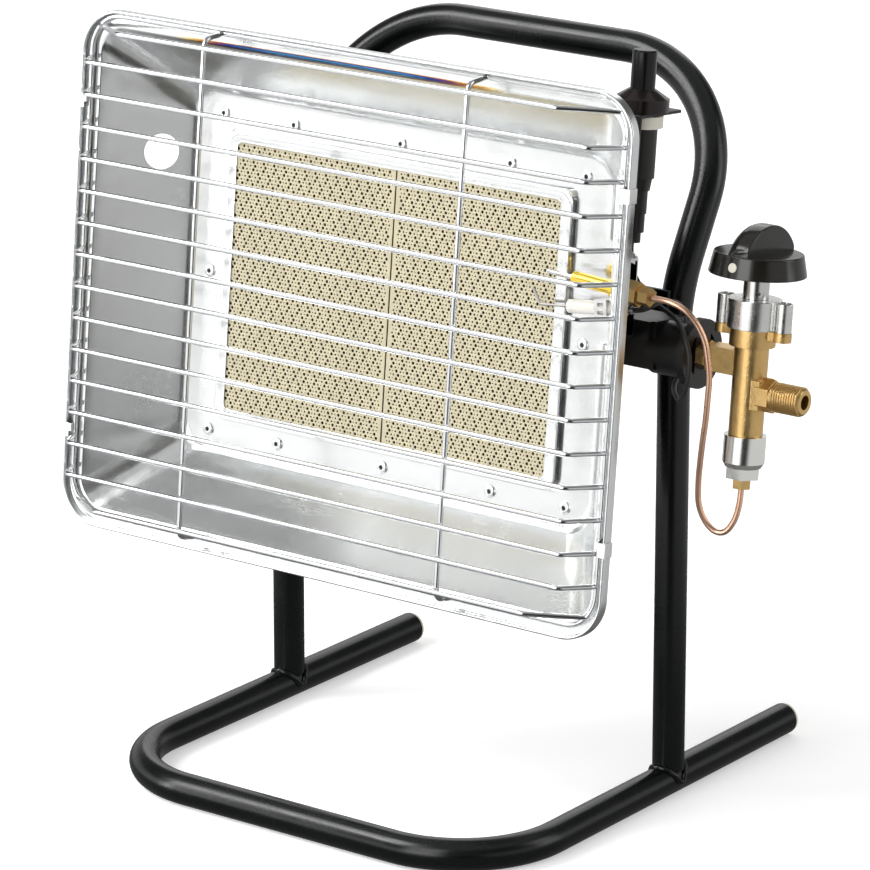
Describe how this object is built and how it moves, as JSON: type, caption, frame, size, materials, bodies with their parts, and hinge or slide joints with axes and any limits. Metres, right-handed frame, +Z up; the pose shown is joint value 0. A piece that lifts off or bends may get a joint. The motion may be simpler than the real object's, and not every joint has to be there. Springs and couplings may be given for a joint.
{
  "type": "portable propane heater",
  "caption": "Portable propane radiant heater: ceramic burner in a flared reflector with wire guard, gas valve, flame guard and push igniter on a bent-tube stand.",
  "frame": {"origin": "on the floor, midway between the legs and on the line through both feet of the legs", "axes": "+Z up, the heater faces -Y, the gas valve and the igniter are on the +X side"},
  "size_m": [0.3893, 0.2688, 0.3841],
  "materials": {
    "frame_paint": "gloss",
    "plug_plastic": "satin",
    "zinc_steel": "zinc plated",
    "stainless": "bright pressed sheet",
    "ceramic_plate": "matt, perforated",
    "fibre": "matt fibre",
    "burner_black": "satin",
    "rivet_metal": "satin",
    "guard_chrome": "polished",
    "clip_metal": "satin",
    "brass": "turned",
    "bonnet_zinc": "bright zinc",
    "stem_steel": "turned",
    "spring_steel": "drawn wire",
    "magnet_steel": "turned",
    "magnet_housing_metal": "polished",
    "copper": "drawn copper",
    "knob_plastic": "gloss",
    "hood_plastic": "gloss",
    "white_plastic": "satin",
    "glazed": "glazed",
    "lead_rubber": "satin"
  },
  "bodies": {
    "heater": {"base_tube": "frame_paint", "hoop_tube": "frame_paint", "tube_end_plugs": "plug_plastic", "crossbar": "frame_paint", "mounting_bolts": "zinc_steel", "reflector": "stainless", "burner_frame": "stainless", "ceramic_plate_left": "ceramic_plate", "ceramic_plate_right": "ceramic_plate", "plate_gasket": "fibre", "burner_housing": "burner_black", "baffle_plate": "zinc_steel", "rivets": "rivet_metal", "mixing_tube": "burner_black", "mixing_tube_screws": "zinc_steel", "injector": "brass", "injector_nut": "brass", "grille_bars": "guard_chrome", "grille_uprights": "guard_chrome", "grille_frame": "guard_chrome", "grille_clips": "clip_metal", "valve_body": "brass", "valve_bonnet": "bonnet_zinc", "bonnet_screws": "zinc_steel", "armature_spring": "spring_steel", "magnet_unit": "magnet_steel", "magnet_housing": "magnet_housing_metal", "thermocouple_nut": "brass", "capillary": "copper", "thermocouple_fittings": "brass", "thermocouple_sleeve": "brass", "thermocouple_tip": "stem_steel", "electrode_insulator": "glazed", "electrode_wire": "stem_steel", "electrode_clip": "stem_steel", "lead_terminal": "zinc_steel", "ignition_lead": "lead_rubber", "igniter_bracket": "burner_black", "igniter_body": "knob_plastic", "igniter_hood": "hood_plastic", "igniter_nut": "white_plastic", "igniter_spring": "spring_steel"},
    "gas_cock": {"valve_plug": "brass", "spindle_spring": "spring_steel"},
    "gas_knob": {"knob": "knob_plastic", "knob_marker": "white_plastic", "spindle": "stem_steel"},
    "magnet_armature": {"armature": "stem_steel"},
    "igniter_plunger": {"igniter_button": "knob_plastic"}
  },
  "joints": [
    {"name": "knob_turn", "type": "hinge", "parent": "heater", "child": "gas_cock", "pos_m": [0.194, -0.04888, 0.2463], "axis": [0, 0.1028, 0.9947], "range_deg": [0, 180]},
    {"name": "knob_push", "type": "slide", "parent": "gas_cock", "child": "gas_knob", "axis": [0, -0.1028, -0.9947], "range_m": [0, 0.004], "stiffness_N_per_m": 1500, "springref_m": -0.002, "deforming": ["spindle_spring"]},
    {"name": "armature_slide", "type": "slide", "parent": "heater", "child": "magnet_armature", "axis": [0, -0.1028, -0.9947], "range_m": [0, 0.004], "deforming": ["armature_spring"]},
    {"name": "igniter_press", "type": "slide", "parent": "heater", "child": "igniter_plunger", "axis": [0, -0.1028, -0.9947], "range_m": [0, 0.006], "stiffness_N_per_m": 1500, "springref_m": -0.002, "deforming": ["igniter_spring"]}
  ],
  "couplings": [
    {"joint": "armature_slide", "follows": "knob_push", "ratio": 1}
  ]
}
